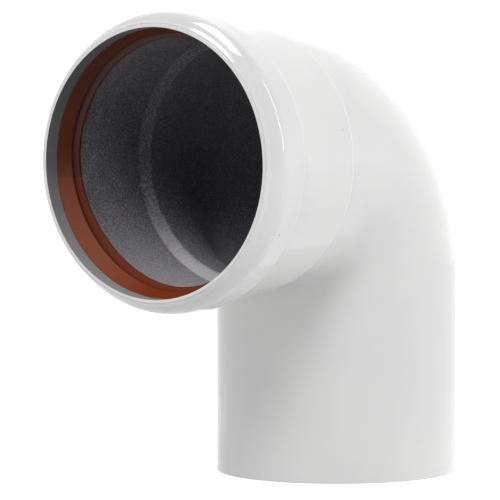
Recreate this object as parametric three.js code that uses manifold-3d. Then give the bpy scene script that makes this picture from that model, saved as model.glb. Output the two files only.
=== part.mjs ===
// Flue elbow: a 90 degree bend for a single-wall 80 mm boiler flue.
// One end is a plain spigot that pushes into the pipe below it. The other end is a
// socket that takes the next pipe, with a collar whose groove holds a silicone lip seal.
//
// Frame: millimetres, +Z up. The origin is the centre of the spigot's end face, the
// spigot's axis is +Z, and the socket looks along -Y.

import * as THREE from 'three';
import { mergeVertices } from 'three/addons/utils/BufferGeometryUtils.js';
import Module from 'manifold-3d';

const wasm = await Module();
wasm.setup();

// ---- driving dimensions -------------------------------------------------------------

// the duct: spigot and bend
const SPIGOT_RADIUS = 40.0;         // outside, the flue's nominal 80 mm
const DUCT_WALL = 1.5;
const SPIGOT_LENGTH = 64.2;         // end face to the start of the bend
const THROAT_RADIUS = 0.5;          // outside surface, at the inner corner of the bend
const SPIGOT_EDGE = 0.5;            // chamfer on the spigot's outer edge

// lengths of the socket, along its axis from the end of the bend
const NECK_LENGTH = 9.5;            // duct-sized length before the wall steps out
const SLEEVE_LENGTH = 32.3;         // from the step's crest to the collar's rear edge
const COLLAR_LENGTH = 10.3;         // cylindrical part of the collar
const COLLAR_FLANK = 2.1;           // rear face of the collar, sloping down to the sleeve
const NOSE_LENGTH = 5.1;            // the collar's sloping front
const LIP_LENGTH = 0.6;             // flat lip that stands in front of the nose

// walls and clearances of the socket
const PIPE_CLEARANCE = 0.9;         // between the socket's bore and the pipe
const SLEEVE_WALL = 1.8;
const COLLAR_RISE = 4.2;            // how far the collar stands out of the sleeve
const MOUTH_CLEARANCE = 2.0;        // between the mouth and the pipe
const LIP_WALL = 1.2;
const NOSE_LAND = 0.4;              // flat ring around the lip, where the nose begins
const SHOULDER_SETBACK = 1.3;       // from the outside step's foot to the inside shoulder
const SHOULDER_LENGTH = 3.6;        // inside cone where the pipe's end stops

// the seal's groove, inside the collar
const GROOVE_FRONT_WALL = 5.4;      // mouth to groove
const GROOVE_WALL = 1.6;            // metal outside the groove's floor, and behind it
const GROOVE_DRAFT = 0.8;           // how far the groove's front face leans

// the lip seal
const SEAL_GAP = 0.3;               // between the seal and the metal around it
const SEAL_OVERHANG = 0.1;          // the seal's front corner, outside the mouth's radius
const FRONT_LIP_SETBACK = 5.1;      // the two lips, behind the groove's front
const MAIN_LIP_SETBACK = 7.2;
const FRONT_LIP_CLEARANCE = 0.2;    // between the front lip and the pipe
const MAIN_LIP_SQUEEZE = 1.2;       // how far the pipe pushes the main lip outwards
const LIP_NOTCH = 0.9;              // depth of the notch between the lips
const LIP_CREST = 0.8;              // width of the main lip's crest

// ---- worked out from those ------------------------------------------------------------

const DUCT_BORE = SPIGOT_RADIUS - DUCT_WALL;
const BEND_RADIUS = SPIGOT_RADIUS + THROAT_RADIUS;
const SOCKET_AXIS_HEIGHT = SPIGOT_LENGTH + BEND_RADIUS;

const SOCKET_BORE = SPIGOT_RADIUS + PIPE_CLEARANCE;
const SLEEVE_RADIUS = SOCKET_BORE + SLEEVE_WALL;
const COLLAR_RADIUS = SLEEVE_RADIUS + COLLAR_RISE;
const MOUTH_BORE = SPIGOT_RADIUS + MOUTH_CLEARANCE;
const LIP_RADIUS = MOUTH_BORE + LIP_WALL;

const SLEEVE_START = NECK_LENGTH + SLEEVE_RADIUS - SPIGOT_RADIUS;   // a 45 degree step
const COLLAR_START = SLEEVE_START + SLEEVE_LENGTH;
const NOSE_START = COLLAR_START + COLLAR_LENGTH;
const LIP_START = NOSE_START + NOSE_LENGTH;
const SOCKET_LENGTH = LIP_START + LIP_LENGTH;

const SHOULDER_START = NECK_LENGTH + SHOULDER_SETBACK;
const SHOULDER_END = SHOULDER_START + SHOULDER_LENGTH;
const GROOVE_START = COLLAR_START + GROOVE_WALL;
const GROOVE_END = SOCKET_LENGTH - GROOVE_FRONT_WALL;
const GROOVE_RADIUS = COLLAR_RADIUS - GROOVE_WALL;

const AROUND = 60;                  // facets around every round section
const BEND_STEPS = 15;
const CUT_PAST = 2;                 // how far a cutting body runs past the face it opens

// ---- helpers ----------------------------------------------------------------------------

function toSolid(geometry) {
  const bare = geometry.clone();
  bare.deleteAttribute('normal');
  bare.deleteAttribute('uv');
  const merged = mergeVertices(bare, 1e-5);
  const vertProperties = Float32Array.from(merged.attributes.position.array);
  const triVerts = Uint32Array.from(merged.index.array);
  return new wasm.Manifold(new wasm.Mesh({ numProp: 3, vertProperties, triVerts }));
}

function toGeometry(solid) {
  const mesh = solid.getMesh();
  const geometry = new THREE.BufferGeometry();
  geometry.setAttribute('position', new THREE.BufferAttribute(mesh.vertProperties.slice(), 3));
  geometry.setIndex(new THREE.BufferAttribute(mesh.triVerts.slice(), 1));
  geometry.computeVertexNormals();
  return geometry;
}

// A body of revolution about the socket's axis. Each point is [distance along the axis
// from the end of the bend, radius], listed with the outside running towards the mouth.
// The lathe turns about +Y and the socket looks along -Y, so the profile is laid down
// reversed and then lifted to the socket's height.
function turnedOnSocket(points) {
  const profile = points.map(([along, radius]) => new THREE.Vector2(radius, -along)).reverse();
  profile.push(profile[0].clone());
  const geometry = new THREE.LatheGeometry(profile, AROUND);
  geometry.translate(0, -BEND_RADIUS, SOCKET_AXIS_HEIGHT);
  return geometry;
}

// The duct's centre line: straight up the spigot from below its end face, round the bend,
// and straight on beyond it. Each straight part is a single step.
class DuctLine extends THREE.Curve {
  constructor(below, beyond) {
    super();
    this.below = below;
    this.beyond = beyond;
  }

  station(u) {
    return u * (BEND_STEPS + 2) - 1;
  }

  getPointAt(u, target = new THREE.Vector3()) {
    const turn = THREE.MathUtils.clamp(this.station(u), 0, BEND_STEPS) / BEND_STEPS * Math.PI / 2;
    const before = Math.max(-this.station(u), 0) * (SPIGOT_LENGTH + this.below);
    const after = Math.max(this.station(u) - BEND_STEPS, 0) * this.beyond;
    return target.set(
      0,
      -BEND_RADIUS * (1 - Math.cos(turn)) - after,
      SPIGOT_LENGTH + BEND_RADIUS * Math.sin(turn) - before,
    );
  }

  getTangentAt(u, target = new THREE.Vector3()) {
    const turn = THREE.MathUtils.clamp(this.station(u), 0, BEND_STEPS) / BEND_STEPS * Math.PI / 2;
    return target.set(0, -Math.sin(turn), Math.cos(turn));
  }

  getPoint(t, target) {
    return this.getPointAt(t, target);
  }
}

function roundBar(radius, line) {
  const outline = new THREE.Shape();
  outline.absarc(0, 0, radius, 0, Math.PI * 2, false);
  return new THREE.ExtrudeGeometry(outline, {
    steps: BEND_STEPS + 2,
    extrudePath: line,
    curveSegments: AROUND / 2,
  });
}

// ---- the casting --------------------------------------------------------------------------

// outside of the socket: step, sleeve, collar, sloping nose and lip
function socketOutside() {
  const buried = DUCT_WALL / 2;     // the step starts inside the duct's wall
  return turnedOnSocket([
    [NECK_LENGTH - buried, 0],
    [NECK_LENGTH - buried, SPIGOT_RADIUS - buried],
    [SLEEVE_START, SLEEVE_RADIUS],
    [COLLAR_START - COLLAR_FLANK, SLEEVE_RADIUS],
    [COLLAR_START, COLLAR_RADIUS],
    [NOSE_START, COLLAR_RADIUS],
    [LIP_START, LIP_RADIUS + NOSE_LAND],
    [LIP_START, LIP_RADIUS],
    [SOCKET_LENGTH, LIP_RADIUS],
    [SOCKET_LENGTH, 0],
  ]);
}

// inside of the socket: stop shoulder, bore, seal groove and mouth
function socketInside() {
  const slope = (SOCKET_BORE - DUCT_BORE) / SHOULDER_LENGTH;
  const buried = DUCT_WALL / 2;     // the shoulder starts inside the duct's bore
  return turnedOnSocket([
    [SHOULDER_START - buried, 0],
    [SHOULDER_START - buried, DUCT_BORE - buried * slope],
    [SHOULDER_END, SOCKET_BORE],
    [GROOVE_START, SOCKET_BORE],
    [GROOVE_START, GROOVE_RADIUS],
    [GROOVE_END - GROOVE_DRAFT, GROOVE_RADIUS],
    [GROOVE_END, MOUTH_BORE],
    [SOCKET_LENGTH + CUT_PAST, MOUTH_BORE],
    [SOCKET_LENGTH + CUT_PAST, 0],
  ]);
}

// what is trimmed off the spigot's outer edge
function spigotEdgeCut() {
  const section = [
    new THREE.Vector2(SPIGOT_RADIUS - SPIGOT_EDGE, 0),
    new THREE.Vector2(SPIGOT_RADIUS - SPIGOT_EDGE - CUT_PAST, -CUT_PAST),
    new THREE.Vector2(SPIGOT_RADIUS + CUT_PAST, -CUT_PAST),
    new THREE.Vector2(SPIGOT_RADIUS + CUT_PAST, SPIGOT_EDGE + CUT_PAST),
    new THREE.Vector2(SPIGOT_RADIUS - SPIGOT_EDGE, 0),
  ];
  const geometry = new THREE.LatheGeometry(section, AROUND);
  geometry.rotateX(Math.PI / 2);
  return geometry;
}

function elbowCasting() {
  const wallEnd = SHOULDER_START;                         // inside the step's metal
  const boreEnd = (SHOULDER_START + SHOULDER_END) / 2;    // inside the socket's hollow
  const outside = toSolid(roundBar(SPIGOT_RADIUS, new DuctLine(0, wallEnd)))
    .add(toSolid(socketOutside()));
  const inside = toSolid(roundBar(DUCT_BORE, new DuctLine(CUT_PAST, boreEnd)))
    .add(toSolid(socketInside()));
  return toGeometry(outside.subtract(inside).subtract(toSolid(spigotEdgeCut())));
}

// ---- the lip seal ---------------------------------------------------------------------------

// A ring whose base fills the groove. Its front face slopes in to a front lip that guides
// the pipe. Behind a notch stands the main lip, which grips the pipe.
function lipSeal() {
  const front = GROOVE_END - SEAL_GAP;
  const back = GROOVE_START + SEAL_GAP;
  const floor = GROOVE_RADIUS - SEAL_GAP;
  const frontLipAt = GROOVE_END - FRONT_LIP_SETBACK;
  const frontLip = SPIGOT_RADIUS + FRONT_LIP_CLEARANCE;
  const mainLipAt = GROOVE_END - MAIN_LIP_SETBACK;
  const mainLip = SPIGOT_RADIUS - MAIN_LIP_SQUEEZE;
  return turnedOnSocket([
    [back, SOCKET_BORE - SEAL_GAP],
    [back, floor],
    [front - GROOVE_DRAFT, floor],
    [front, MOUTH_BORE + SEAL_OVERHANG],
    [frontLipAt, frontLip],
    [frontLipAt - LIP_NOTCH, frontLip + LIP_NOTCH],
    [mainLipAt, mainLip],
    [mainLipAt - LIP_CREST, mainLip + LIP_CREST / 4],
  ]);
}

// ---- assembly ---------------------------------------------------------------------------------

function part(name, geometry, colour, roughness, metalness) {
  const material = new THREE.MeshStandardMaterial({ color: colour, roughness, metalness });
  const mesh = new THREE.Mesh(geometry, material);
  mesh.name = name;
  return mesh;
}

const group = new THREE.Group();
group.add(part('elbow_casting', elbowCasting(), 0xf2f2f0, 0.35, 0.0));
group.add(part('lip_seal', lipSeal(), 0x7a2f1c, 0.55, 0.0));

export default group;
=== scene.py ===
"""Looks for an 80 mm single-wall flue elbow: a white powder-coated casting with a lip seal."""

import math

import bmesh
import bpy
from mathutils import Matrix, Vector


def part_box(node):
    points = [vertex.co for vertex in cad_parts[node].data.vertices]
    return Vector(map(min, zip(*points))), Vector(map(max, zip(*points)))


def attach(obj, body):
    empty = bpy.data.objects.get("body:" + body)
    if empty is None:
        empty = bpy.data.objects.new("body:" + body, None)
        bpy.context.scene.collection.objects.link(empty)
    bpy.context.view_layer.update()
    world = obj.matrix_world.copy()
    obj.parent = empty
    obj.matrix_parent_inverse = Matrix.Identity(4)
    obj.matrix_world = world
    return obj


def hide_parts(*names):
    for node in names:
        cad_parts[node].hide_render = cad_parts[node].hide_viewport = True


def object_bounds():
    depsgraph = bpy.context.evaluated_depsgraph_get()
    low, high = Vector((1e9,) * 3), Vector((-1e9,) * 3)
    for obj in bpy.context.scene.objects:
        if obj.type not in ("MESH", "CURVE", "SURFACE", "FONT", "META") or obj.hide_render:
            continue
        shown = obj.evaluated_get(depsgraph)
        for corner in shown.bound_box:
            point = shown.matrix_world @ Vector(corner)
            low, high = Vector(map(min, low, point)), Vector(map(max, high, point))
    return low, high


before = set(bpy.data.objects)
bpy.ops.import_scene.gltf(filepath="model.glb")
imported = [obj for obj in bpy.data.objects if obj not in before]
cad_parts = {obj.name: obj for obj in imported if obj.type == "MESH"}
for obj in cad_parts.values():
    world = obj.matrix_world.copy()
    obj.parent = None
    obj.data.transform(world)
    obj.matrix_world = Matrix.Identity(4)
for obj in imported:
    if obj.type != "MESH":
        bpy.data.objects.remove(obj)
cad_low, cad_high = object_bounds()

MM = 0.001

# The casting's main sizes, read off the frame.
casting_low, casting_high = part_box("elbow_casting")
SPIGOT_RADIUS = casting_high.y
COLLAR_RADIUS = casting_high.x
SOCKET_HEIGHT = casting_high.z - COLLAR_RADIUS
THROAT_RADIUS = 0.5 * MM
BEND_RADIUS = SPIGOT_RADIUS + THROAT_RADIUS
SPIGOT_LENGTH = SOCKET_HEIGHT - BEND_RADIUS
SOCKET_LENGTH = -casting_low.y - BEND_RADIUS
BEND_CENTRE = Vector((0, -BEND_RADIUS, SPIGOT_LENGTH))
SOCKET_CENTRE = Vector((0, -BEND_RADIUS, SOCKET_HEIGHT))

# The seal's sizes, read off the frame as well.
seal_low, seal_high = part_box("lip_seal")
SEAL_RADIUS = seal_high.x
SEAL_FRONT = -seal_low.y - BEND_RADIUS

# Walls, clearances to the pipe that the socket takes, and the radii that follow.
DUCT_WALL = 1.5 * MM
PIPE_CLEARANCE = 0.9 * MM
SLEEVE_WALL = 1.8 * MM
MOUTH_CLEARANCE = 2.0 * MM
LIP_WALL = 1.2 * MM
GROOVE_WALL = 1.6 * MM
DUCT_BORE = SPIGOT_RADIUS - DUCT_WALL
SOCKET_BORE = SPIGOT_RADIUS + PIPE_CLEARANCE
SLEEVE_RADIUS = SOCKET_BORE + SLEEVE_WALL
MOUTH_BORE = SPIGOT_RADIUS + MOUTH_CLEARANCE
LIP_RADIUS = MOUTH_BORE + LIP_WALL
GROOVE_RADIUS = COLLAR_RADIUS - GROOVE_WALL

# Distances along the socket, from the end of the bend.
NECK_END = 9.5 * MM
SLEEVE_START = 12.2 * MM
SHOULDER_START = 10.8 * MM
SHOULDER_END = 14.4 * MM
COLLAR_FOOT = 42.4 * MM
COLLAR_START = 44.5 * MM
COLLAR_END = 54.2 * MM
GROOVE_BACK = 46.1 * MM
GROOVE_FRONT = 54.3 * MM
MOUTH_BACK = 55.1 * MM
FRONT_LIP_BACK = 49.55 * MM

# The splice in the seal, below the socket's middle.
SPLICE_HEIGHT = SOCKET_HEIGHT - 5.0 * MM

# The casting's materials, by their place in its list.
COATED, OVERSPRAYED, TURNED = range(3)

# Divisions of the round shapes.
AROUND = 240
BEND_STEPS = 60
SEAL_AROUND = 360
ROUND_SEGMENTS = 4


def depth(along):
    """The Y coordinate at a distance along the socket."""
    return -BEND_RADIUS - along


# ---------------------------------------------------------------- nodes and colours

def linear(hex_colour):
    """An sRGB hex colour as the linear RGBA that a shader takes."""
    channels = [int(hex_colour[i:i + 2], 16) / 255 for i in (1, 3, 5)]
    return [c / 12.92 if c <= 0.04045 else ((c + 0.055) / 1.055) ** 2.4 for c in channels] + [1.0]


def add_node(tree, kind, settings=None, stops=(), **inputs):
    """Adds a node, sets its properties and colour stops, and fills or links inputs by name or number."""
    node = tree.nodes.new(kind)
    for name, value in (settings or {}).items():
        setattr(node, name, value)
    for number, (place, hex_colour) in enumerate(stops):
        elements = node.color_ramp.elements
        stop = elements[number] if number < 2 else elements.new(place)
        stop.position = place
        stop.color = linear(hex_colour)
    for name, value in inputs.items():
        socket = node.inputs[int(name[1:])] if name[0] == "_" else node.inputs[name.replace("_", " ")]
        if isinstance(value, bpy.types.NodeSocket):
            tree.links.new(value, socket)
        else:
            socket.default_value = value
    return node


def new_material(name):
    """An empty node material and its tree."""
    material = bpy.data.materials.new(name)
    material.use_nodes = True
    material.node_tree.nodes.clear()
    return material, material.node_tree


# ---------------------------------------------------------------- materials

def white_powder_coat():
    """Polyester powder coat, baked on: glossy white, with a shallow orange peel and specks of dust."""
    material, tree = new_material("white_powder_coat")
    place = add_node(tree, "ShaderNodeTexCoord").outputs["Object"]

    # The coat's thickness wanders over some centimetres, which warms and cools the white a little.
    drift = add_node(tree, "ShaderNodeTexNoise", Vector=place, Scale=1 / (30 * MM), Detail=2.0)
    white = add_node(
        tree, "ShaderNodeValToRGB", _0=drift.outputs["Fac"], stops=((0.3, "#e3e3e3"), (0.7, "#e8e8e7")))

    # Dust baked into the coat: specks about 0.4 mm across, several centimetres apart.
    cells = add_node(tree, "ShaderNodeTexVoronoi", Vector=place, Scale=1 / (7 * MM))
    speck = add_node(
        tree, "ShaderNodeMapRange", Value=cells.outputs["Distance"],
        From_Min=0.02, From_Max=0.045, To_Min=1.0, To_Max=0.0)
    pick = add_node(tree, "ShaderNodeSeparateColor", Color=cells.outputs["Color"])
    chosen = add_node(
        tree, "ShaderNodeMath", {"operation": "GREATER_THAN"}, _0=pick.outputs["Red"], _1=0.9)
    dust = add_node(
        tree, "ShaderNodeMath", {"operation": "MULTIPLY"}, _0=speck.outputs["Result"], _1=chosen.outputs[0])
    dusty = add_node(
        tree, "ShaderNodeMix", {"data_type": "RGBA"}, _0=dust.outputs[0], _6=white.outputs["Color"],
        _7=linear("#8f8d8a"))

    # Orange peel: cells of 2.5 mm, a few microns high.
    peel = add_node(tree, "ShaderNodeTexNoise", Vector=place, Scale=1 / (2.5 * MM), Detail=1.0)
    bump = add_node(tree, "ShaderNodeBump", Strength=0.25, Distance=0.02 * MM, Height=peel.outputs["Fac"])
    gloss = add_node(tree, "ShaderNodeMapRange", Value=drift.outputs["Fac"], To_Min=0.04, To_Max=0.07)
    shader = add_node(
        tree, "ShaderNodeBsdfPrincipled", Base_Color=dusty.outputs[2], Roughness=gloss.outputs["Result"],
        IOR=1.5, Normal=bump.outputs["Normal"])
    add_node(tree, "ShaderNodeOutputMaterial", Surface=shader.outputs["BSDF"])
    return material


def oversprayed_aluminium():
    """Bare cast aluminium inside the duct: dulled grey, with powder drifted in as a pale fine speckle."""
    material, tree = new_material("oversprayed_aluminium")
    place = add_node(tree, "ShaderNodeTexCoord").outputs["Object"]
    axes = add_node(tree, "ShaderNodeSeparateXYZ", Vector=place)

    # Paler towards the socket's floor: partly settled powder, partly painted light falling in from the
    # mouth.
    height = add_node(
        tree, "ShaderNodeMapRange", Value=axes.outputs["Z"], From_Min=SOCKET_HEIGHT,
        From_Max=SOCKET_HEIGHT - SOCKET_BORE, To_Min=0.0, To_Max=1.0)
    floor_powder_and_light = add_node(tree, "ShaderNodeMath", {"operation": "POWER"}, _0=height.outputs["Result"], _1=2.3)

    # Twice as much of it catches on the shoulder, and strays a millimetre behind it with a ragged edge.
    ragged = add_node(
        tree, "ShaderNodeTexNoise", Vector=place, Scale=1 / (1.6 * MM), Detail=3.0, Roughness=0.7)
    strayed = add_node(
        tree, "ShaderNodeMath", {"operation": "MULTIPLY_ADD"}, _0=ragged.outputs["Fac"], _1=-3.0 * MM,
        _2=axes.outputs["Y"])
    rear_edge = add_node(
        tree, "ShaderNodeMapRange", Value=strayed.outputs[0], From_Min=depth(SHOULDER_START + 0.8 * MM),
        From_Max=depth(SHOULDER_START + 0.4 * MM), To_Min=0.5, To_Max=0.0)
    front_edge = add_node(
        tree, "ShaderNodeMapRange", Value=axes.outputs["Y"], From_Min=depth(SHOULDER_END + 0.4 * MM),
        From_Max=depth(SHOULDER_END + 0.1 * MM), To_Min=0.0, To_Max=1.0)
    shoulder = add_node(
        tree, "ShaderNodeMath", {"operation": "MULTIPLY_ADD"}, _0=rear_edge.outputs["Result"],
        _1=front_edge.outputs["Result"], _2=0.5)
    powder_light_and_shade = add_node(
        tree, "ShaderNodeMath", {"operation": "MULTIPLY"}, _0=floor_powder_and_light.outputs[0], _1=shoulder.outputs[0])

    # Painted shade: paler near the mouth and darker past the shoulder, deeper in the duct.
    duct_depth_shade = add_node(
        tree, "ShaderNodeMapRange", Value=axes.outputs["Y"], From_Min=depth(46 * MM),
        From_Max=depth(-10 * MM), To_Min=-0.08, To_Max=0.08)
    powder_light_and_shade = add_node(
        tree, "ShaderNodeMath", {"operation": "SUBTRACT"}, _0=powder_light_and_shade.outputs[0],
        _1=duct_depth_shade.outputs["Result"])

    # Blotches of 2 mm under grit of 0.3 mm. Real powder is finer than 0.1 mm, and is drawn coarser to show.
    grit = add_node(tree, "ShaderNodeTexNoise", Vector=place, Scale=1 / (0.65 * MM), Detail=1.0)
    blotch = add_node(tree, "ShaderNodeTexNoise", Vector=place, Scale=1 / (4 * MM), Detail=2.0)
    speckle = add_node(
        tree, "ShaderNodeMath", {"operation": "MULTIPLY_ADD"}, _0=blotch.outputs["Fac"], _1=0.1,
        _2=powder_light_and_shade.outputs[0])
    speckle = add_node(
        tree, "ShaderNodeMath", {"operation": "MULTIPLY_ADD"}, _0=grit.outputs["Fac"], _1=0.5,
        _2=speckle.outputs[0])
    colour = add_node(
        tree, "ShaderNodeValToRGB", _0=speckle.outputs[0],
        stops=((0.1, "#403f43"), (0.3, "#646368"), (0.6, "#b4b2b8"), (1.0, "#f0eef3")))

    bump = add_node(tree, "ShaderNodeBump", Strength=0.5, Distance=0.06 * MM, Height=grit.outputs["Fac"])
    shader = add_node(
        tree, "ShaderNodeBsdfPrincipled", Base_Color=colour.outputs["Color"], Metallic=0.3, Roughness=0.6,
        Normal=bump.outputs["Normal"])
    add_node(tree, "ShaderNodeOutputMaterial", Surface=shader.outputs["BSDF"])
    return material


def turned_aluminium():
    """Aluminium turned clean in the mouth: a dull oxide grey that mirrors little, ringed by the tool."""
    material, tree = new_material("turned_aluminium")
    place = add_node(tree, "ShaderNodeTexCoord").outputs["Object"]
    axes = add_node(tree, "ShaderNodeSeparateXYZ", Vector=place)

    # Rings along the socket's axis, 0.25 mm apart.
    centred = add_node(tree, "ShaderNodeMapping", Vector=place, Location=(0, 0, -SOCKET_HEIGHT))
    rings = add_node(
        tree, "ShaderNodeTexWave", {"wave_type": "BANDS", "bands_direction": "Y"},
        Vector=centred.outputs["Vector"], Scale=1 / (0.8 * MM), Distortion=0.4, Detail=1.0)

    # It is paler towards the bottom: partly powder dusting it, partly painted light falling on the bottom
    # from the mouth.
    height = add_node(
        tree, "ShaderNodeMapRange", Value=axes.outputs["Z"], From_Min=SOCKET_HEIGHT,
        From_Max=SOCKET_HEIGHT - SOCKET_BORE, To_Min=0.0, To_Max=1.0)
    tone = add_node(
        tree, "ShaderNodeMath", {"operation": "MULTIPLY_ADD"}, _0=rings.outputs["Fac"], _1=0.1,
        _2=height.outputs["Result"])
    grey = add_node(
        tree, "ShaderNodeValToRGB", _0=tone.outputs[0], stops=((0.0, "#707071"), (1.0, "#b2b2b3")))

    bump = add_node(tree, "ShaderNodeBump", Strength=0.2, Distance=0.01 * MM, Height=rings.outputs["Fac"])
    shader = add_node(
        tree, "ShaderNodeBsdfPrincipled", Base_Color=grey.outputs["Color"], Metallic=0.0, Roughness=0.5,
        Normal=bump.outputs["Normal"])
    add_node(tree, "ShaderNodeOutputMaterial", Surface=shader.outputs["BSDF"])
    return material


def red_silicone():
    """Moulded iron-oxide silicone rubber: soft red-brown, low satin sheen, and a splice at the left."""
    material, tree = new_material("red_silicone")
    place = add_node(tree, "ShaderNodeTexCoord").outputs["Object"]
    axes = add_node(tree, "ShaderNodeSeparateXYZ", Vector=place)
    mottle = add_node(tree, "ShaderNodeTexNoise", Vector=place, Scale=1 / (6 * MM), Detail=3.0)

    # The run above the splice has aged darker than the run below it.
    above = add_node(
        tree, "ShaderNodeMapRange", Value=axes.outputs["Z"], From_Min=SPLICE_HEIGHT - 0.2 * MM,
        From_Max=SPLICE_HEIGHT + 0.2 * MM, To_Min=0.0, To_Max=0.22)
    # Paler towards the bottom: painted light falling on the ring's lower side from above.
    height = add_node(
        tree, "ShaderNodeMapRange", Value=axes.outputs["Z"], From_Min=SOCKET_HEIGHT,
        From_Max=SOCKET_HEIGHT - SOCKET_BORE, To_Min=0.5, To_Max=0.9)
    tone = add_node(
        tree, "ShaderNodeMath", {"operation": "SUBTRACT"}, _0=height.outputs["Result"],
        _1=above.outputs["Result"])
    tone = add_node(
        tree, "ShaderNodeMath", {"operation": "MULTIPLY_ADD"}, _0=mottle.outputs["Fac"], _1=0.1,
        _2=tone.outputs[0])

    # Painted shade behind the front lip: the ring is darkest in the lip's shadow and pales towards the main
    # lip's edge.
    shade = add_node(
        tree, "ShaderNodeMapRange", Value=axes.outputs["Y"], From_Min=depth(47.2 * MM),
        From_Max=depth(49.4 * MM), To_Min=0.0, To_Max=0.35)
    is_behind = add_node(
        tree, "ShaderNodeMath", {"operation": "GREATER_THAN"}, _0=axes.outputs["Y"],
        _1=depth(FRONT_LIP_BACK))
    shade = add_node(
        tree, "ShaderNodeMath", {"operation": "MULTIPLY"}, _0=shade.outputs["Result"],
        _1=is_behind.outputs[0])
    tone = add_node(
        tree, "ShaderNodeMath", {"operation": "SUBTRACT"}, _0=tone.outputs[0], _1=shade.outputs[0])
    red = add_node(
        tree, "ShaderNodeValToRGB", _0=tone.outputs[0],
        stops=((0.0, "#2c1004"), (0.5, "#60260d"), (1.0, "#8f3b1a")))

    # A painted sheen on the front lip, round the direction of its lower left, drawn as a pale haze.
    sheen_side = Vector((-0.8, 0, -0.6))
    above_middle = add_node(
        tree, "ShaderNodeMath", {"operation": "SUBTRACT"}, _0=axes.outputs["Z"], _1=SOCKET_HEIGHT)
    from_axis = add_node(
        tree, "ShaderNodeCombineXYZ", _0=axes.outputs["X"], _2=above_middle.outputs[0])
    outwards = add_node(
        tree, "ShaderNodeVectorMath", {"operation": "NORMALIZE"}, _0=from_axis.outputs["Vector"])
    facing = add_node(
        tree, "ShaderNodeVectorMath", {"operation": "DOT_PRODUCT"}, _0=outwards.outputs["Vector"],
        _1=sheen_side)
    painted_sheen = add_node(
        tree, "ShaderNodeMapRange", {"interpolation_type": "SMOOTHSTEP"}, Value=facing.outputs["Value"],
        From_Min=0.7, From_Max=1.0, To_Min=0.0, To_Max=0.13)
    in_front = add_node(tree, "ShaderNodeMath", {"operation": "SUBTRACT"}, _0=1.0, _1=is_behind.outputs[0])
    painted_sheen = add_node(
        tree, "ShaderNodeMath", {"operation": "MULTIPLY"}, _0=painted_sheen.outputs["Result"],
        _1=in_front.outputs[0])
    with_sheen = add_node(
        tree, "ShaderNodeMix", {"data_type": "RGBA"}, _0=painted_sheen.outputs[0], _6=red.outputs["Color"],
        _7=linear("#d8a690"))

    # The moulded skin: a faint grain of about 0.3 mm.
    skin = add_node(tree, "ShaderNodeTexNoise", Vector=place, Scale=1 / (0.5 * MM), Detail=2.0)
    bump = add_node(tree, "ShaderNodeBump", Strength=0.15, Distance=0.03 * MM, Height=skin.outputs["Fac"])
    shader = add_node(
        tree, "ShaderNodeBsdfPrincipled", Base_Color=with_sheen.outputs[2], Roughness=0.5, IOR=1.41,
        Specular_IOR_Level=0.4, Normal=bump.outputs["Normal"])
    add_node(tree, "ShaderNodeOutputMaterial", Surface=shader.outputs["BSDF"])
    return material


# ---------------------------------------------------------------- pieces

def finished_piece(name, mesh_work, materials):
    """Turns a finished bmesh into a smooth-shaded object that rides on the body."""
    mesh = bpy.data.meshes.new(name)
    mesh_work.to_mesh(mesh)
    mesh_work.free()
    for material in materials:
        mesh.materials.append(material)
    mesh.shade_smooth()
    piece = bpy.data.objects.new(name, mesh)
    bpy.context.scene.collection.objects.link(piece)
    weighted = piece.modifiers.new("weighted_normals", "WEIGHTED_NORMAL")
    weighted.keep_sharp = True
    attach(piece, "root")
    return piece


class DuctSkin:
    """A closed skin walked ring by ring: up the duct's outside, over the lip, and back inside it."""

    def __init__(self, radius):
        self.mesh = bmesh.new()
        made = bmesh.ops.create_circle(self.mesh, cap_ends=False, radius=radius, segments=AROUND)
        self.radius = radius
        self.along = -SPIGOT_LENGTH
        self.first = list({edge for vert in made["verts"] for edge in vert.link_edges})
        self.ring = self.first
        self.rounded = []
        self.material = COATED

    def extrude(self, move, scale, centre):
        """Extrudes the last ring, scales it about its centre and moves it."""
        made = bmesh.ops.extrude_edge_only(self.mesh, edges=self.ring)["geom"]
        verts = [item for item in made if isinstance(item, bmesh.types.BMVert)]
        self.ring = [
            item for item in made
            if isinstance(item, bmesh.types.BMEdge) and all(vert in set(verts) for vert in item.verts)]
        for item in made:
            if isinstance(item, bmesh.types.BMFace):
                item.material_index = self.material
        bmesh.ops.scale(self.mesh, vec=scale, space=Matrix.Translation(-centre), verts=verts)
        bmesh.ops.translate(self.mesh, vec=move, verts=verts)

    def up_spigot(self, height, radius):
        """Steps along the spigot to a height above its end face."""
        centre = Vector((0, 0, self.along + SPIGOT_LENGTH))
        factor = radius / self.radius
        self.extrude(Vector((0, 0, height - centre.z)), (factor, factor, 1), centre)
        self.along = height - SPIGOT_LENGTH
        self.radius = radius

    def along_socket(self, along, radius, rounding=0.0):
        """Steps along the socket to a distance from the bend, and to a new radius."""
        centre = SOCKET_CENTRE - Vector((0, self.along, 0))
        factor = radius / self.radius
        self.extrude(Vector((0, self.along - along, 0)), (factor, 1, factor), centre)
        self.along = along
        self.radius = radius
        if rounding:
            self.rounded.append((rounding, self.ring))

    def round_bend(self, angle):
        """Sweeps the last ring round the bend."""
        old = set(self.mesh.faces)
        made = bmesh.ops.spin(
            self.mesh, geom=self.ring, cent=BEND_CENTRE, axis=(1, 0, 0), angle=angle, steps=BEND_STEPS,
            use_duplicate=False)["geom_last"]
        self.ring = [item for item in made if isinstance(item, bmesh.types.BMEdge)]
        for face in set(self.mesh.faces) - old:
            face.material_index = self.material
        self.along = 0.0

    def close(self):
        """Joins the last ring to the first, rounds the marked edges and turns every face outwards."""
        bmesh.ops.bridge_loops(self.mesh, edges=self.first + self.ring)
        bmesh.ops.recalc_face_normals(self.mesh, faces=self.mesh.faces)
        for rounding, edges in self.rounded:
            bmesh.ops.bevel(
                self.mesh, geom=edges, offset=rounding, offset_type="OFFSET", segments=ROUND_SEGMENTS,
                profile=0.5, affect="EDGES", clamp_overlap=True, material=-1)
        return self.mesh


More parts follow.
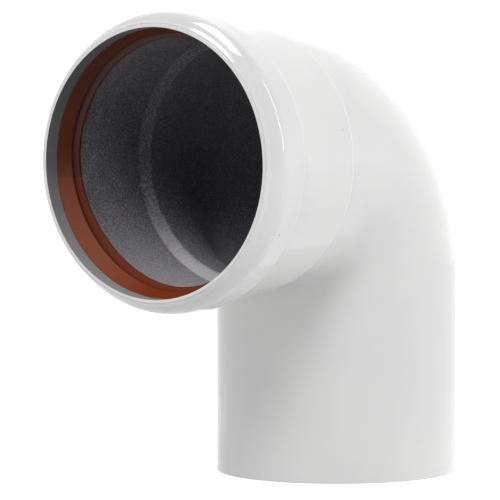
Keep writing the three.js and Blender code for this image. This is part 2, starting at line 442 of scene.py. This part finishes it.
def elbow_casting():
    """The casting: spigot, bend, neck, sleeve, collar, nose and lip, with the socket's stepped inside."""
    skin = DuctSkin(SPIGOT_RADIUS)
    skin.rounded.append((0.4 * MM, skin.first))
    skin.up_spigot(SPIGOT_LENGTH, SPIGOT_RADIUS)
    skin.round_bend(math.radians(90))

    # The neck steps out to the sleeve, and the sleeve to the collar.
    skin.along_socket(NECK_END, SPIGOT_RADIUS, 0.5 * MM)
    skin.along_socket(SLEEVE_START, SLEEVE_RADIUS, 0.65 * MM)
    skin.along_socket(COLLAR_FOOT, SLEEVE_RADIUS, 0.6 * MM)
    skin.along_socket(COLLAR_START, COLLAR_RADIUS, 0.75 * MM)
    skin.along_socket(COLLAR_END, COLLAR_RADIUS, 1.2 * MM)

    # The nose falls in soft slopes to a fine crease round the lip. These sizes are in mm.
    for along, radius, rounding in (
            (57.3, 45.65, 1.8), (58.9, 44.2, 0.12), (59.35, 43.98, 0.2), (60.1, 43.55, 0.15),
            (60.3, 43.35, 0.05), (60.1, 43.18, 0), (60.35, 43.05, 0)):
        skin.along_socket(along * MM, radius * MM, rounding * MM)
    skin.along_socket(SOCKET_LENGTH, LIP_RADIUS - 0.25 * MM, 0.05 * MM)
    skin.along_socket(SOCKET_LENGTH, MOUTH_BORE, 0.2 * MM)

    # The turned mouth and the seal's groove.
    skin.material = TURNED
    skin.along_socket(MOUTH_BACK, MOUTH_BORE, 0.1 * MM)
    skin.along_socket(GROOVE_FRONT, GROOVE_RADIUS)
    skin.along_socket(GROOVE_BACK, GROOVE_RADIUS)

    # The bore, the stop shoulder and the way back down through the bend.
    skin.material = OVERSPRAYED
    skin.along_socket(GROOVE_BACK, SOCKET_BORE, 0.2 * MM)
    skin.along_socket(SHOULDER_END, SOCKET_BORE, 0.5 * MM)
    skin.along_socket(SHOULDER_START, DUCT_BORE, 0.5 * MM)
    skin.along_socket(0.0, DUCT_BORE)
    skin.round_bend(math.radians(-90))
    skin.up_spigot(0.0, DUCT_BORE)
    skin.rounded.append((0.3 * MM, skin.ring))

    finishes = [white_powder_coat(), oversprayed_aluminium(), turned_aluminium()]
    casting = finished_piece("elbow_casting_skin", skin.close(), finishes)
    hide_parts("elbow_casting")


def seal_section():
    """The seal's section as one face: a base for the groove, a short front lip and a longer main lip."""
    section = bmesh.new()
    corners = (
        (46.4 * MM, 40.9 * MM), (46.4 * MM, SEAL_RADIUS), (54.0 * MM, SEAL_RADIUS), (SEAL_FRONT, 42.1 * MM),
        (50.2 * MM, 40.15 * MM), (49.6 * MM, 40.2 * MM), (49.5 * MM, 41.6 * MM), (48.1 * MM, 38.8 * MM),
        (47.1 * MM, 38.9 * MM))
    verts = [section.verts.new((radius, depth(along), SOCKET_HEIGHT)) for along, radius in corners]
    section.faces.new(verts)
    bmesh.ops.bevel(
        section, geom=verts, offset=0.28 * MM, offset_type="OFFSET", segments=ROUND_SEGMENTS, profile=0.5,
        affect="VERTICES", clamp_overlap=True, material=-1)
    return section


def sag(ring):
    """Lets the free lips hang inwards a little over an arc about the lower left."""
    middle = math.radians(225)
    half_arc = math.radians(60)
    root_radius = 42 * MM
    lip_depth = 3.2 * MM
    most = 1.9 * MM
    for vert in ring.verts:
        out = vert.co - SOCKET_CENTRE
        radius = math.hypot(out.x, out.z)
        angle = math.atan2(out.z, out.x)
        off = abs((angle - middle + math.pi) % (2 * math.pi) - math.pi)
        if off < half_arc and radius < root_radius:
            fade = 0.5 + 0.5 * math.cos(math.pi * off / half_arc)
            free = min(1.0, (root_radius - radius) / lip_depth)
            pull = most * fade * free
            vert.co.x -= pull * out.x / radius
            vert.co.z -= pull * out.z / radius


def lip_seal():
    """The seal: its section spun into one ring, slack at the lower left."""
    ring = seal_section()
    section_face = list(ring.faces)
    bmesh.ops.spin(
        ring, geom=list(ring.edges), cent=SOCKET_CENTRE, axis=(0, 1, 0), angle=math.radians(360),
        steps=SEAL_AROUND, use_merge=True, use_duplicate=False)
    bmesh.ops.delete(ring, geom=section_face, context="FACES_ONLY")
    bmesh.ops.remove_doubles(ring, verts=ring.verts, dist=0.002 * MM)
    bmesh.ops.recalc_face_normals(ring, faces=ring.faces)
    sag(ring)

    seal = finished_piece("lip_seal_ring", ring, [red_silicone()])
    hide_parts("lip_seal")


# ---------------------------------------------------------------- stage

def pale_floor():
    """A plain pale floor that glows a little, as a lit studio table does."""
    work = bmesh.new()
    bmesh.ops.create_grid(work, x_segments=1, y_segments=1, size=1.6)
    bmesh.ops.translate(work, vec=(0, 0, cad_low.z), verts=work.verts)
    mesh = bpy.data.meshes.new("floor")
    work.to_mesh(mesh)
    work.free()
    material, tree = new_material("pale_floor")
    shader = add_node(
        tree, "ShaderNodeBsdfPrincipled", Base_Color=linear("#ececec"), Roughness=0.6,
        Emission_Color=linear("#ffffff"), Emission_Strength=0.6)
    add_node(tree, "ShaderNodeOutputMaterial", Surface=shader.outputs["BSDF"])
    mesh.materials.append(material)
    floor = bpy.data.objects.new("floor", mesh)
    # It neither lights nor shades the matt finishes: the low glows of the sky stand in for it.
    floor.visible_diffuse = False
    floor.visible_shadow = False
    bpy.context.scene.collection.objects.link(floor)


def studio_sky():
    """White studio surroundings: broad soft glows, each with a direction and a strength at its middle."""
    # The table began as another program's least-squares fit. Seven directions and one strength are still
    # the fit's. The rest were adjusted, and the last glow was added.
    glows = (
        ((0.0, -0.7, 0.7), 0.7), ((0.6, -0.6, 0.6), 0.05), ((-0.7, -0.7, 0.0), 0.8),
        ((-0.6, 0.6, 0.6), 0.65), ((0.9, 0.4, -0.1), 1.5), ((0.0, 1.0, 0.0), 1.1),
        ((-0.7, 0.7, 0.0), 0.75), ((0.65, 0.55, -0.6), 1.85), ((0.0, 0.7, 0.7), 0.85),
        ((-0.1, -0.9, -0.45), 1.15))
    # A glow falls off as exp(sharpness * (cosine - 1)) from its middle.
    sharpness = 7.0
    world = bpy.data.worlds.new("white_studio")
    bpy.context.scene.world = world
    world.use_nodes = True
    tree = world.node_tree
    tree.nodes.clear()
    towards = add_node(tree, "ShaderNodeTexCoord").outputs["Generated"]
    total = 0.0
    for direction, strength in glows:
        alignment = add_node(
            tree, "ShaderNodeVectorMath", {"operation": "DOT_PRODUCT"}, _0=towards,
            _1=Vector(direction).normalized())
        fall = add_node(
            tree, "ShaderNodeMath", {"operation": "MULTIPLY_ADD"}, _0=alignment.outputs["Value"],
            _1=sharpness, _2=math.log(strength) - sharpness)
        glow = add_node(tree, "ShaderNodeMath", {"operation": "EXPONENT"}, _0=fall.outputs[0])
        total = add_node(
            tree, "ShaderNodeMath", {"operation": "ADD"}, _0=glow.outputs[0], _1=total).outputs[0]
    background = add_node(tree, "ShaderNodeBackground", Color=linear("#ffffff"), Strength=total)
    add_node(tree, "ShaderNodeOutputWorld", Surface=background.outputs["Background"])


def soft_box(name, direction, size, power, is_key=False):
    """A rectangular soft light. The key lights the matt finishes, and the others only show in the gloss."""
    distance = 1.0
    light = bpy.data.lights.new(name, "AREA")
    light.shape = "RECTANGLE"
    light.size = size[0]
    light.size_y = size[1]
    light.energy = power
    lamp = bpy.data.objects.new(name, light)
    lamp.location = (cad_low + cad_high) / 2 + Vector(direction).normalized() * distance
    lamp.rotation_euler = Vector(direction).to_track_quat("Z", "Y").to_euler()
    lamp.visible_diffuse = is_key
    lamp.visible_glossy = not is_key
    bpy.context.scene.collection.objects.link(lamp)


def camera():
    """A long lens about a metre off, to the right of the mouth and a little above."""
    # The angles, lens, distance and aim come from a least-squares fit to the elbow's outlines.
    aim = (cad_low + cad_high) / 2 + Vector((0, -18.8 * MM, -0.1 * MM))
    azimuth = math.radians(35.83)
    down = math.radians(3.23)
    roll = math.radians(-0.11)
    distance = 1.0414
    back = Vector((math.sin(azimuth) * math.cos(down), -math.cos(azimuth) * math.cos(down), math.sin(down)))
    lens = bpy.data.cameras.new("camera")
    lens.sensor_width = 36
    lens.lens = 233.33
    lens.clip_start = 0.05
    lens.clip_end = 20
    eye = bpy.data.objects.new("camera", lens)
    eye.location = aim + back * distance
    turn = back.to_track_quat("Z", "Y").to_matrix() @ Matrix.Rotation(roll, 3, "Z")
    eye.rotation_euler = turn.to_euler()
    bpy.context.scene.collection.objects.link(eye)
    bpy.context.scene.camera = eye


elbow_casting()
lip_seal()
pale_floor()
studio_sky()
soft_box("overhead_soft_box", (0.03, 0.05, 1), (0.64, 0.26), 3.2)
soft_box("front_soft_box", (0.4, -0.6, 0.66), (0.3, 0.3), 4.2, is_key=True)
soft_box("right_strip_box", (0.85, 0.15, 0.5), (0.1, 0.8), 2.2)
camera()
bpy.context.scene.view_settings.view_transform = "Standard"
